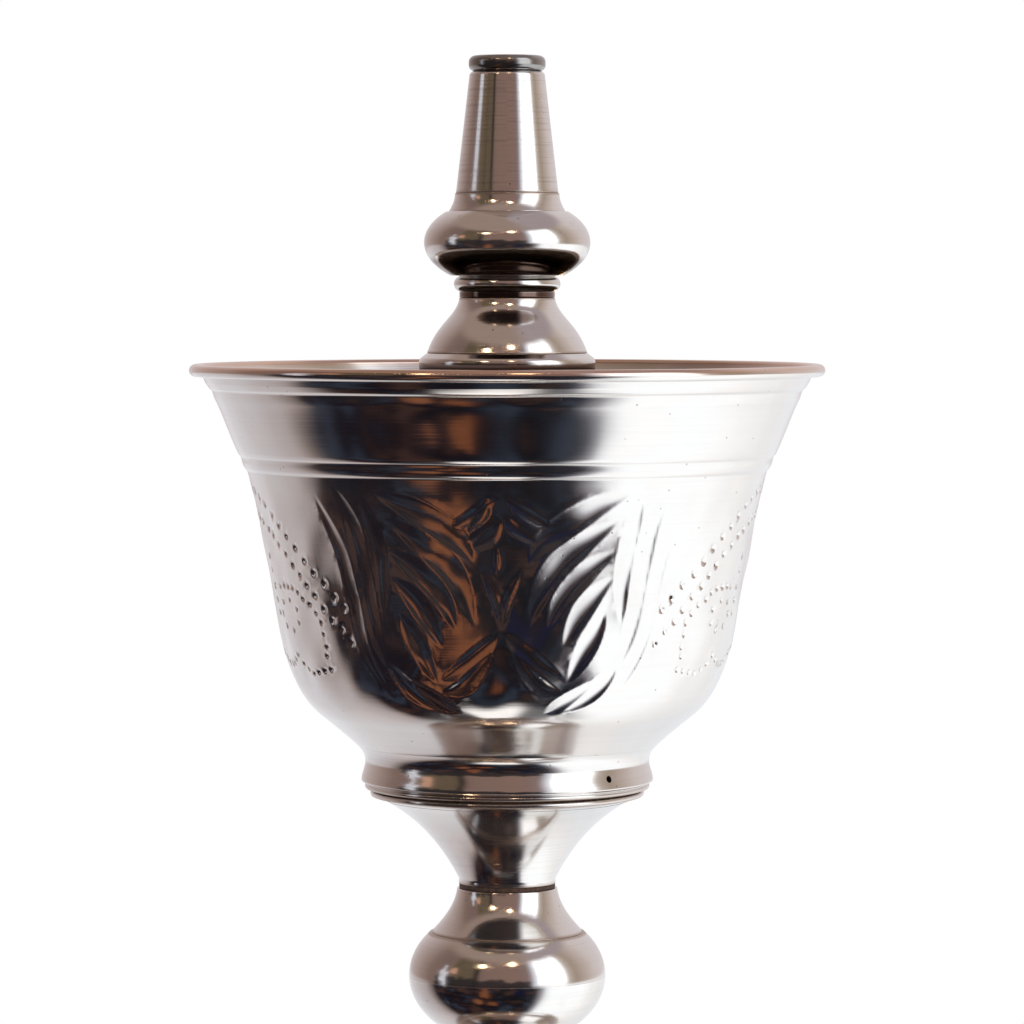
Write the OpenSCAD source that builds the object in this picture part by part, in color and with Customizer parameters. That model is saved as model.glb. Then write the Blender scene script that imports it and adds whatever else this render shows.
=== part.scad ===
// Footed vessel: an open, chased cup that stands on a turned stem, with a
// tapered hollow spigot on a turned post that rises out of the cup's middle.
// Z is up, the origin is the middle of the resting face, and all heights of
// the cup, the post and the ball are worked out from the plane of the rim.

/* [Overall] */
// Height of the cup's rim above the table
rim_z = 250; // [246:1:256]

/* [Spigot and post] */
// Radius of the straight bore in the spigot's mouth
bore_r = 7; // [6.6:0.1:7.2]
// Height of the spigot's mouth above the rim
post_h = 73.5; // [72:0.5:80]
// Radius of the rolled lip round the mouth
lip_r = 9; // [8.8:0.1:9.4]
// Radius of the spigot just under the lip
spigot_top_r = 8.8; // [8.6:0.1:9.2]
// Radius of the spigot at its foot
spigot_foot_r = 12; // [11.6:0.1:12.2]
// Largest radius of the knob on the post
knob_r = 19.5; // [18.8:0.1:20.4]
// Largest radius of the flange under the bell
flange_r = 20.7; // [20:0.1:20.8]
// Thickness of the spun shells
shell_t = 1.2; // [1:0.1:1.4]

/* [Cup] */
// Outer radius of the rolled rim
rim_r = 74.5; // [74:0.1:75]
// Radius of the rolled edge's own section
roll_r = 1.4; // [1.3:0.05:1.5]
// Thickness of the cup's sheet
sheet_t = 0.8; // [0.7:0.1:0.9]
// Radius of the hole in the cup's floor
floor_hole_r = 21.4; // [21.3:0.1:21.8]
// Radius of the vent hole in the cup's collar
vent_r = 0.8; // [0.6:0.1:1]

/* [Column and tie tube] */
// Outer radius of the sleeve inside the cup
column_r = 19; // [18.6:0.1:19.2]
// Outer radius of the tube that ties the stem together
tie_r = 7.5; // [7.4:0.1:7.8]
// Outer radius of the post's core tube, and of its thread's stand-in
core_r = 6; // [5.8:0.1:6.1]
// Radius of the airway through both tubes
airway_r = 4.5; // [4:0.1:4.8]
// Radial clearance of the screw joint
running_gap = 0.05; // [0.03:0.01:0.08]
// Length of the post's threaded stub
stub_h = 13.7; // [12:0.1:15]

/* [Stem and foot] */
// Radius of the ball
ball_r = 23.15; // [22.8:0.05:23.6]
// Half the height that the full ellipse of the ball would have
ball_half_h = 16.5; // [16.3:0.1:16.8]
// Radius of the foot's rim
foot_r = 72; // [70:0.5:76]
// Thickness of the felt under the foot
felt_t = 1.5; // [1.5:0.1:2]

/* [Hidden] */
$fn = 96;

// Colours of the metals and the soft washers
nickel = "#c9c6c1";
brass = "#c2a05a";
iron = "#55565a";
fibre = "#6b4326";
felt = "#3c5a43";

// Heights on the post, from its mouth down to the flange
mouth_z = rim_z + post_h;
spigot_z = mouth_z - 3.7;
step_z = rim_z + 41.4;
knob_top_z = rim_z + 37.1;
knob_z = rim_z + 29.9;
knob_half_h = 10.6;
neck_z = rim_z + 22.1;
bell_z = rim_z + 16.9;
bell_foot_z = rim_z + 4;
flange_z = rim_z - 0.3;
socket_floor_z = rim_z + 46;

// Heights of the column's head and of the seat under the cup
gasket_t = 1.5;
cap_z = flange_z - gasket_t;
cap_t = 2.5;
socket_h = stub_h + 0.8;
collar_z = rim_z - 98.2;
washer_t = 0.6;
seat_z = collar_z - washer_t;
seat_t = 1.2;
cone_z = seat_z - seat_t;

// Heights on the stem, from the cone's small end down to the foot
cone_foot_z = rim_z - 120.8;
ball_neck_z = cone_foot_z - 1.1;
ball_top_z = rim_z - 132.4;
ball_z = rim_z - 142.6;
ball_foot_z = ball_z - 11.2;
foot_washer_z = ball_foot_z - 12.2;
bead_z = foot_washer_z - 1.5;
trumpet_z = bead_z - 6.5;
dome_z = 25;
rim_ring_z = 11;
plate_t = 1;
plate_z = felt_t + plate_t;

// Radii that several pieces share
cone_foot_r = 11.4;
trumpet_r = 46;
dome_r = foot_r - 6;
bush_r = floor_hole_r + 1.2;
weight_r = 54;

// Points along a curve from a to d, whose ends point at b and c
function curve(a, b, c, d, n, from = 0) = [
    for (i = [from : n])
        let (t = i / n, u = 1 - t)
            u * u * u * a + 3 * u * u * t * b + 3 * u * t * t * c + t * t * t * d
];

// Points along an ellipse's arc between two angles
function arc(centre, rx, rz, start, end, n) = [
    for (i = [0 : n])
        let (angle = start + (end - start) * i / n)
            centre + [rx * cos(angle), rz * sin(angle)]
];

// The same outline moved sideways by t, to the right of its direction of travel
function beside(line, t) = [
    for (i = [0 : len(line) - 1])
        let (
            before = line[max(i - 1, 0)],
            after = line[min(i + 1, len(line) - 1)],
            way = (after - before) / norm(after - before)
        )
            line[i] + t * [way.y, -way.x]
];

function reversed(line) = [for (i = [len(line) - 1 : -1 : 0]) line[i]];

// Outline of a sheet of thickness t, whose outer face runs down the given line
function sheet(line, t) = concat(line, reversed(beside(line, t)));

// Radius of an ellipse of half height h and radius r at a height dz from its middle
function ellipse_r(r, h, dz) = r * sqrt(1 - pow(dz / h, 2));

// Angle along that ellipse at a height dz from its middle
function ellipse_angle(h, dz) = asin(dz / h);

module turned(outline) {
    rotate_extrude() polygon(outline);
}

module ring(inner, outer, low, high) {
    turned([[inner, low], [outer, low], [outer, high], [inner, high]]);
}

// ---- Spigot and post ----

module head_lip_ring() {
    corner = 1.3;
    color(nickel)
        turned(concat(
            [[bore_r, spigot_z]],
            arc([lip_r - corner, spigot_z + corner], corner, corner, -90, 0, 5),
            arc([lip_r - corner, mouth_z - corner], corner, corner, 0, 90, 5),
            [[bore_r, mouth_z]]
        ));
}

module head_spigot() {
    groove = 0.6;
    color(nickel)
        turned([
            [bore_r, spigot_z],
            [spigot_top_r - groove, spigot_z],
            [spigot_top_r, spigot_z - groove],
            [spigot_foot_r, step_z],
            [core_r, step_z],
            [core_r, socket_floor_z],
            [bore_r, socket_floor_z]
        ]);
}

module spigot_step_ring() {
    top = [spigot_foot_r + 0.2, step_z];
    foot = [spigot_foot_r + 1.7, knob_top_z];
    color(nickel)
        turned(concat(
            [[core_r, step_z]],
            curve(top, top + [0.1, -1.8], foot + [-0.8, 1.4], foot, 6),
            [[core_r, knob_top_z]]
        ));
}

module post_knob() {
    top = ellipse_angle(knob_half_h, knob_top_z - knob_z);
    foot = ellipse_angle(knob_half_h, neck_z - knob_z);
    outer = arc([0, knob_z], knob_r, knob_half_h, top, foot, 20);
    inner = arc([0, knob_z], knob_r - shell_t, knob_half_h - shell_t, top - 3, foot + 3, 20);
    color(nickel)
        turned(concat(
            [[core_r, knob_top_z]],
            outer,
            [[core_r, neck_z], [core_r, inner[20].y]],
            reversed(inner),
            [[core_r, inner[0].y]]
        ));
}

module post_neck_ring() {
    bead = [10.5, rim_z + 20.2];
    color(nickel)
        turned(concat(
            [[core_r, neck_z], [11.8, neck_z]],
            arc(bead, 2, 1.9, 70, -70, 8),
            [[11.2, bell_z], [core_r, bell_z]]
        ));
}

module post_bell() {
    side = curve([11.2, bell_z], [11.9, rim_z + 12.5], [16.6, rim_z + 11], [18.8, bell_foot_z], 14);
    color(nickel)
        difference() {
            turned(concat([[core_r, bell_z]], side, [[core_r, bell_foot_z]]));
            turned(concat(
                [[core_r + 2, bell_z - shell_t]],
                [for (p = side) if (p.y < bell_z - shell_t) p - [shell_t, 0]],
                [[core_r + 2, bell_foot_z]]
            ));
        }
}

module post_flange() {
    color(nickel)
        turned(concat(
            [[core_r, bell_foot_z], [flange_r - 1.9, bell_foot_z]],
            arc([flange_r - 1, flange_z + 2], 1, 1.4, 65, 0, 4),
            arc([flange_r - 0.8, flange_z + 0.8], 0.8, 0.8, 0, -90, 4),
            [[core_r, flange_z]]
        ));
}

module post_core_tube() {
    color(brass) ring(airway_r, core_r, flange_z - stub_h, socket_floor_z);
}

module head_gasket() {
    color(fibre) ring(core_r + running_gap, 17.5, cap_z, flange_z);
}

// ---- Column and tie tube ----

module column_cap() {
    lip_h = 3;
    color(nickel)
        turned([
            [tie_r, cap_z],
            [column_r - 0.5, cap_z],
            [column_r, cap_z - 0.5],
            [column_r, cap_z - cap_t],
            [column_r - shell_t, cap_z - cap_t],
            [column_r - shell_t, cap_z - cap_t - lip_h],
            [column_r - 2 * shell_t, cap_z - cap_t - lip_h],
            [column_r - 2 * shell_t, cap_z - cap_t],
            [tie_r, cap_z - cap_t]
        ]);
}

module column_sleeve() {
    color(nickel) ring(column_r - shell_t, column_r, seat_z, cap_z - cap_t);
}

module stem_tie_tube() {
    foot_z = plate_z + 0.6;
    color(brass)
        turned([
            [airway_r, foot_z],
            [tie_r, foot_z],
            [tie_r, cap_z],
            [core_r + running_gap, cap_z],
            [core_r + running_gap, flange_z - socket_h],
            [airway_r, flange_z - socket_h]
        ]);
}

// ---- Cup ----

// Outer face of the cup's sheet, from under the rolled edge down to its floor
function cup_side() = concat(
    [
        [rim_r - 2.4, rim_z - 0.2], [rim_r - 3.4, rim_z - 1.9], [rim_r - 4.7, rim_z - 4.1],
        [rim_r - 5.3, rim_z - 4.65]
    ],
    curve(
        [rim_r - 5.9, rim_z - 6.5], [rim_r - 7.6, rim_z - 9.7],
        [rim_r - 9.5, rim_z - 15.5], [rim_r - 11.5, rim_z - 19.6], 8
    ),
    [
        [rim_r - 12, rim_z - 20.1], [rim_r - 12.2, rim_z - 20.7], [rim_r - 13, rim_z - 22.9],
        [rim_r - 13.5, rim_z - 23.4]
    ],
    curve(
        [rim_r - 13.9, rim_z - 24.8], [rim_r - 16.8, rim_z - 35],
        [rim_r - 18.3, rim_z - 46], [rim_r - 20.2, rim_z - 56], 8
    ),
    curve(
        [rim_r - 20.2, rim_z - 56], [rim_r - 22.4, rim_z - 68.5],
        [rim_r - 24.9, rim_z - 75.8], [rim_r - 30.3, rim_z - 80.4], 10, 1
    ),
    curve(
        [rim_r - 30.3, rim_z - 80.4], [rim_r - 32.8, rim_z - 82.4],
        [rim_r - 36.3, rim_z - 85.2], [rim_r - 39.3, rim_z - 88], 5, 1
    ),
    [[bush_r, rim_z - 88]]
);

module cup_bowl() {
    color(nickel)
        rotate_extrude() {
            difference() {
                union() {
                    polygon(sheet(cup_side(), sheet_t));
                    translate([rim_r - roll_r, rim_z]) circle(roll_r);
                }
                translate([rim_r - roll_r, rim_z]) circle(roll_r - sheet_t);
            }
        }
}

module rim_wire() {
    color(iron)
        rotate_extrude()
            translate([rim_r - roll_r, rim_z]) circle(roll_r - sheet_t);
}

module cup_floor_bush() {
    floor_z = rim_z - 88 + sheet_t;
    color(nickel)
        turned([
            [floor_hole_r, floor_z + 1.2],
            [floor_hole_r, rim_z - 90],
            [bush_r, rim_z - 90],
            [bush_r, floor_z],
            [bush_r + 2.4, floor_z],
            [bush_r + 2.4, floor_z + 1.2]
        ]);
}

module cup_collar() {
    vent_angle = -46;
    vent_z = rim_z - 93.9;
    inner_r = 31.6;
    waist = [33.4, rim_z - 91.8];
    edge = [34.3, rim_z - 96.4];
    color(nickel)
        difference() {
            turned(concat(
                [[inner_r, rim_z - 88]],
                curve([35.2, rim_z - 88], [34.1, rim_z - 89.1], [33.4, rim_z - 90.2], waist, 6),
                curve(waist, waist + [0, -1.6], edge + [0.1, 1.4], edge, 5, 1),
                [[33.1, rim_z - 97], [33.5, rim_z - 97.4], [33.5, collar_z + 0.3], [33.2, collar_z]],
                [[23.5, collar_z], [23.5, collar_z + 1.2], [inner_r, collar_z + 1.2]]
            ));
            translate([0, 0, vent_z])
                rotate([0, 90, vent_angle])
                    translate([0, 0, inner_r - 3]) cylinder(r = vent_r, h = 8);
        }
}

module seat_washer() {
    color(fibre) ring(23.5, 31.5, seat_z, collar_z);
}

// ---- Stem ----

module cone_seat_plate() {
    edge_r = 32.2;
    color(nickel)
        turned([
            [tie_r, seat_z],
            [edge_r - 0.3, seat_z],
            [edge_r, seat_z - 0.3],
            [edge_r, cone_z + 0.3],
            [edge_r - 0.3, cone_z],
            [tie_r, cone_z]
        ]);
}

module stem_cone() {
    side = curve(
        [30.6, cone_z], [21.5, cone_z - 4.5], [15.5, cone_z - 11.5], [cone_foot_r, cone_z - 19.6], 14
    );
    end_t = 1.5;
    color(nickel)
        difference() {
            turned(concat([[tie_r, cone_z]], side, [[cone_foot_r, cone_foot_z], [tie_r, cone_foot_z]]));
            turned(concat(
                [[tie_r, cone_z + 1], [side[0].x - 1.7, cone_z + 1]],
                [for (p = side) if (p.y > cone_foot_z + 3) p - [1.7, 0]],
                [[tie_r, cone_foot_z + end_t]]
            ));
        }
}

module joint_washer() {
    color(fibre) ring(tie_r, cone_foot_r - 0.1, ball_neck_z, cone_foot_z);
}

module ball_upper_neck() {
    foot_r = ellipse_r(ball_r, ball_half_h, ball_top_z - ball_z) - 0.3;
    side = curve(
        [11.8, ball_neck_z], [12.2, ball_neck_z - 3.7], [14.4, ball_neck_z - 6.9], [foot_r, ball_top_z], 8
    );
    color(nickel) turned(concat([[tie_r, ball_neck_z]], side, [[tie_r, ball_top_z]]));
}

// Half of the ball's shell between two heights from its middle
module ball_shell(low, high) {
    start = ellipse_angle(ball_half_h, high);
    end = ellipse_angle(ball_half_h, low);
    outer = arc([0, ball_z], ball_r, ball_half_h, start, end, 14);
    inner_h = ball_half_h - shell_t;
    inner = arc(
        [0, ball_z], ball_r - shell_t, inner_h,
        ellipse_angle(inner_h, high), ellipse_angle(inner_h, low), 14
    );
    turned(concat(outer, reversed(inner)));
}

module ball_upper_half() {
    color(nickel) ball_shell(0, ball_top_z - ball_z);
}

module ball_lower_half() {
    color(nickel) ball_shell(ball_foot_z - ball_z, 0);
}

module ball_lower_neck() {
    top_r = ellipse_r(ball_r, ball_half_h, ball_foot_z - ball_z) - 0.3;
    side = curve(
        [top_r, ball_foot_z], [13.2, ball_foot_z - 3.2],
        [11.6, foot_washer_z + 5], [cone_foot_r, foot_washer_z], 8
    );
    color(nickel) turned(concat([[tie_r, ball_foot_z]], side, [[tie_r, foot_washer_z]]));
}

module foot_washer() {
    color(fibre) ring(tie_r, cone_foot_r - 0.1, bead_z, foot_washer_z);
}

module foot_bead_ring() {
    half_h = (bead_z - trumpet_z) / 2;
    color(nickel)
        turned(concat(
            [[tie_r, bead_z]],
            arc([11.6, bead_z - half_h], 2.8, half_h, 90, -90, 10),
            [[tie_r, trumpet_z]]
        ));
}

// ---- Foot ----

module foot_trumpet() {
    side = curve(
        [cone_foot_r, trumpet_z], [12.2, trumpet_z - 26], [24, dome_z + 8], [trumpet_r, dome_z], 16
    );
    end_t = 2;
    color(nickel)
        difference() {
            turned(concat([[tie_r, trumpet_z]], side, [[tie_r, dome_z]]));
            turned(concat(
                [[tie_r, trumpet_z - end_t]],
                [for (p = beside(side, shell_t)) if (p.y < trumpet_z - end_t) p],
                [[trumpet_r - 3, dome_z - 1], [tie_r, dome_z - 1]]
            ));
        }
}

module foot_dome() {
    side = concat(
        [[trumpet_r - 4, dome_z], [trumpet_r, dome_z]],
        curve(
            [trumpet_r + 2, dome_z - 1], [trumpet_r + 12, dome_z - 1],
            [dome_r, rim_ring_z + 9], [dome_r, rim_ring_z + 1], 10
        ),
        [[dome_r, rim_ring_z]]
    );
    color(nickel) turned(sheet(side, shell_t));
}

module foot_rim_ring() {
    low = plate_z;
    inner_r = dome_r - 5;
    corner = 2.6;
    color(nickel)
        turned(concat(
            [[inner_r, rim_ring_z], [foot_r - 3.5, rim_ring_z], [foot_r - 3.2, rim_ring_z - 1.6]],
            arc([foot_r - corner, rim_ring_z - 2 - corner], corner, corner, 90, 0, 6),
            [[foot_r, low - plate_t + 0.4], [foot_r - 0.4, low - plate_t]],
            [[foot_r - 2, low - plate_t], [foot_r - 2, low], [inner_r, low]]
        ));
}

module foot_weight() {
    pocket_r = 19;
    pocket_z = plate_z + 8.5;
    color(iron)
        turned([
            [tie_r, dome_z - shell_t],
            [trumpet_r - 5, dome_z - shell_t],
            [weight_r, plate_z + 12],
            [weight_r, plate_z + 0.5],
            [pocket_r, plate_z + 0.5],
            [pocket_r, pocket_z],
            [tie_r, pocket_z]
        ]);
}

module tie_washer() {
    color(nickel) ring(tie_r, 14.5, plate_z + 7, plate_z + 8.5);
}

module tie_nut() {
    across_flats = 22;
    color(brass)
        translate([0, 0, plate_z + 1])
            difference() {
                cylinder(r = across_flats / sqrt(3), h = 6, $fn = 6);
                translate([0, 0, -1]) cylinder(r = tie_r, h = 8);
            }
}

module base_plate() {
    color(iron) ring(0, foot_r - 2, felt_t, plate_z);
}

module base_felt() {
    color(felt) ring(0, foot_r - 4, 0, felt_t);
}

head_lip_ring();
head_spigot();
spigot_step_ring();
post_knob();
post_neck_ring();
post_bell();
post_flange();
post_core_tube();
head_gasket();
column_cap();
column_sleeve();
cup_bowl();
rim_wire();
cup_floor_bush();
cup_collar();
seat_washer();
cone_seat_plate();
stem_cone();
joint_washer();
ball_upper_neck();
ball_upper_half();
ball_lower_half();
ball_lower_neck();
foot_washer();
foot_bead_ring();
foot_trumpet();
foot_dome();
foot_rim_ring();
stem_tie_tube();
foot_weight();
tie_washer();
tie_nut();
base_plate();
base_felt();
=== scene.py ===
import math

import bmesh
import bpy
import numpy as np
from bpy.props import FloatProperty, FloatVectorProperty, IntProperty, PointerProperty
from mathutils import Matrix, Vector


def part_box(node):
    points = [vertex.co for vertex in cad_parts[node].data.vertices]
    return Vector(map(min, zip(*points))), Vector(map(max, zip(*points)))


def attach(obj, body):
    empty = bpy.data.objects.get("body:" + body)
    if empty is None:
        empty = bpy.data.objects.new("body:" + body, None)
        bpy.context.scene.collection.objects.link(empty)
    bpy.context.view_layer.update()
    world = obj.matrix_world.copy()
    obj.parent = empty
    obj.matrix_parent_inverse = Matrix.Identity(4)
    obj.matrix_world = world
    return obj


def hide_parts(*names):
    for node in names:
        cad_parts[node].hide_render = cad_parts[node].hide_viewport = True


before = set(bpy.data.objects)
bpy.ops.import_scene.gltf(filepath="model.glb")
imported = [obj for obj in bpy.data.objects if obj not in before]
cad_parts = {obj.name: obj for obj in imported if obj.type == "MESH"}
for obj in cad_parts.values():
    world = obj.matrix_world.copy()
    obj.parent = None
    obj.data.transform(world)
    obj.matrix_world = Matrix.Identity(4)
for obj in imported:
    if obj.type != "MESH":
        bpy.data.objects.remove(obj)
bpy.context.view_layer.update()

bl_info = {
    "name": "Nickel Ciborium",
    "version": (1, 0, 0),
    "blender": (4, 5, 0),
    "location": "View3D > Sidebar > Ciborium",
    "description": "Spun, chased and polished pieces of a nickel vessel with a central spigot",
    "category": "Object",
}

MM = 0.001


# ---- Measures taken from the frame, in millimetres ----

def measure(node):
    """Bottom, top and outer radius of a turned CAD node."""
    low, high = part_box(node)
    return low[2] / MM, high[2] / MM, high[0] / MM


RIM_Z = sum(measure("rim_wire")[:2]) / 2
RIM_R = measure("cup_bowl")[2]
TIE_R = measure("stem_tie_tube")[2]
CORE_R = measure("post_core_tube")[2]
SOCKET_FLOOR = measure("post_core_tube")[1]
BORE_R = 7.0
SHELL_T = 1.2
CUP_T = 0.8
CUP_DEEP = 88
BUSH_R = 22.6
SHARP_TURN = 42


# ---- Profiles: lists of (radius, height) ----

def curve(a, b, c, d, steps):
    """Points from a to d along a curve whose ends point at b and c."""
    line = []
    for i in range(steps + 1):
        t = i / steps
        u = 1 - t
        weights = (u * u * u, 3 * u * u * t, 3 * u * t * t, t * t * t)
        line.append(tuple(sum(w * p[k] for w, p in zip(weights, (a, b, c, d))) for k in (0, 1)))
    return line


def arc(centre, rx, rz, start, end, steps):
    """Points along an ellipse's arc between two angles in degrees."""
    angles = [math.radians(start + (end - start) * i / steps) for i in range(steps + 1)]
    return [(centre[0] + rx * math.cos(a), centre[1] + rz * math.sin(a)) for a in angles]


def beside(line, distance):
    """The same line moved to the right of its direction of travel."""
    moved = []
    for i, (r, z) in enumerate(line):
        before, after = line[max(i - 1, 0)], line[min(i + 1, len(line) - 1)]
        dr, dz = after[0] - before[0], after[1] - before[1]
        size = math.hypot(dr, dz)
        moved.append((r + distance * dz / size, z - distance * dr / size))
    return moved


def eased(outline, radius=0.25, corner_angle=24.0, tight=None):
    """A closed outline with its corners rounded, and a held edge beside each round.

    Corners at the height tight stay almost sharp, where two pieces meet in one flowing line.
    """
    points = [Vector(p) for p in outline]
    points = [p for i, p in enumerate(points) if (p - points[i - 1]).length > 1e-4]
    result = []
    for i, p in enumerate(points):
        back, ahead = points[i - 1] - p, points[(i + 1) % len(points)] - p
        turn = 180 - math.degrees(back.angle(ahead))
        if turn < corner_angle:
            result.append(p)
            continue
        cut = min(radius, 0.35 * back.length, 0.35 * ahead.length)
        if tight is not None and abs(p.y - tight) < 0.01:
            cut = min(cut, 0.04)
        start, end = p + back.normalized() * cut, p + ahead.normalized() * cut
        for hold in (start + back.normalized() * cut * 0.6, start):
            result.append(hold)
        for t in (0.25, 0.5, 0.75):
            result.append(start.lerp(p, t).lerp(p.lerp(end, t), t))
        for hold in (end, end + ahead.normalized() * cut * 0.6):
            result.append(hold)
    return [tuple(p) for p in result]


# ---- Meshes ----

def finished(name, work, material, body, node):
    """An object from a bmesh, riding on its body and standing for its CAD node."""
    mesh = bpy.data.meshes.new(name)
    work.to_mesh(mesh)
    work.free()
    piece = bpy.data.objects.new(name, mesh)
    bpy.context.scene.collection.objects.link(piece)
    mesh.materials.append(material)
    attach(piece, body)
    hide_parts(node)
    return piece


def spun(outline, steps):
    """A closed outline spun once round the axis."""
    work = bmesh.new()
    verts = [work.verts.new((r * MM, 0, z * MM)) for r, z in outline]
    edges = [work.edges.new(pair) for pair in zip(verts, verts[1:] + verts[:1])]
    bmesh.ops.spin(
        work, geom=verts + edges, cent=(0, 0, 0), axis=(0, 0, 1),
        angle=math.tau, steps=steps, use_merge=True, use_duplicate=False,
    )
    bmesh.ops.remove_doubles(work, verts=work.verts, dist=2e-6)
    smooth_faces(work)
    return work


def smooth_faces(work):
    """Shades smoothly except across edges that turn more than SHARP_TURN."""
    bmesh.ops.recalc_face_normals(work, faces=work.faces)
    for face in work.faces:
        face.smooth = True
    for edge in work.edges:
        turn = math.degrees(edge.calc_face_angle(0))
        edge.smooth = len(edge.link_faces) == 2 and turn < SHARP_TURN


def turned(
    name, outline, material, body, node, radius=0.25, steps=192, tight=None,
):
    """A piece spun from its outline, with the outline's corners eased."""
    work = spun(eased(outline, radius, tight=tight), steps)
    return finished(name, work, material, body, node)


# ---- Shader nodes ----

class Amount:
    """A number that varies over a surface. Arithmetic on it adds Math nodes."""

    def __init__(self, tree, socket):
        self.tree = tree
        self.socket = socket

    def math(self, operation, *others, first=None):
        inputs = [self if first is None else first, *others]
        return self.tree.node("ShaderNodeMath", {"operation": operation}, dict(enumerate(inputs)))

    def __add__(self, other):
        return self.math("ADD", other)

    def __radd__(self, other):
        return self.math("ADD", self, first=other)

    def __sub__(self, other):
        return self.math("SUBTRACT", other)

    def __rsub__(self, other):
        return self.math("SUBTRACT", self, first=other)

    def __mul__(self, other):
        return self.math("MULTIPLY", other)

    def __rmul__(self, other):
        return self.math("MULTIPLY", self, first=other)

    def __truediv__(self, other):
        return self.math("DIVIDE", other)

    def __pow__(self, other):
        return self.math("POWER", other)

    def __abs__(self):
        return self.math("ABSOLUTE")

    def rising(self, start, end):
        """0 before start and 1 after end, with a soft step between."""
        return self.tree.node(
            "ShaderNodeMapRange", {"interpolation_type": "SMOOTHSTEP"},
            {"Value": self, "From Min": start, "From Max": end},
        )


class Tree:
    """The node tree of one finish or of the light."""

    def __init__(self, owner):
        owner.use_nodes = True
        self.owner = owner
        self.tree = owner.node_tree
        self.tree.nodes.clear()

    def node(self, kind, settings=None, inputs=None, output=0):
        node = self.tree.nodes.new(kind)
        for key, value in (settings or {}).items():
            if key == "stops":
                elements = node.color_ramp.elements
                while len(elements) < len(value):
                    elements.new(1.0)
                for element, (place, colour) in zip(elements, value):
                    element.position = place
                    element.color = (*colour, 1.0)
            else:
                setattr(node, key, value)
        for key, value in (inputs or {}).items():
            if isinstance(value, Amount):
                self.tree.links.new(value.socket, node.inputs[key])
            else:
                node.inputs[key].default_value = value
        return Amount(self, node.outputs[output])

    def mix(self, factor, a, b):
        """Colour a where factor is 0 and b where it is 1."""
        values = {0: factor, 6: a, 7: b}
        return self.node("ShaderNodeMix", {"data_type": "RGBA"}, values, output=2)

    def split(self, vector):
        separate = self.tree.nodes.new("ShaderNodeSeparateXYZ")
        self.tree.links.new(vector.socket, separate.inputs[0])
        return [Amount(self, socket) for socket in separate.outputs]

    def joined(self, x, y, z):
        return self.node("ShaderNodeCombineXYZ", None, {0: x, 1: y, 2: z})

    def noise(self, vector, scale, detail=3.0, roughness=0.55, distortion=0.0):
        return self.node("ShaderNodeTexNoise", None, {
            "Vector": vector, "Scale": scale, "Detail": detail,
            "Roughness": roughness, "Distortion": distortion,
        })

    def bump(self, height, depth_mm, strength=1.0):
        """A height of 0 to 1 as a relief of that depth."""
        return self.node("ShaderNodeBump", None, {
            "Height": height, "Distance": depth_mm * MM, "Strength": strength,
        })

    def surface(self, colour, roughness, metallic, normal=None, **constants):
        """Ends the tree in a Principled shader, and gives back its material."""
        inputs = {"Base Color": colour, "Roughness": roughness, "Metallic": metallic}
        if normal is not None:
            inputs["Normal"] = normal
        inputs.update({key.replace("_", " ").title(): value for key, value in constants.items()})
        shader = self.node("ShaderNodeBsdfPrincipled", None, inputs)
        self.node_out("ShaderNodeOutputMaterial", shader)
        return self.owner

    def node_out(self, kind, shader):
        node = self.tree.nodes.new(kind)
        self.tree.links.new(shader.socket, node.inputs["Surface"])


def shade(colour, factor):
    return (*(c * factor for c in colour), 1.0)


def object_place(tree):
    """Object coordinates, and with them the radius, the height and the angle round the axis."""
    place = tree.node("ShaderNodeTexCoord", output=3)
    x, y, z = tree.split(place)
    radius = (x * x + y * y) ** 0.5
    angle = x.math("ARCTAN2", y)
    return place, radius, z, angle


# Painted shade: dark brown laid under the knob, in the neck and at the flange's foot
PAINTED_SHADE_COLOUR = (0.13, 0.085, 0.07, 1.0)
WORN_COLOUR = (0.66, 0.42, 0.30, 1.0)


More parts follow.
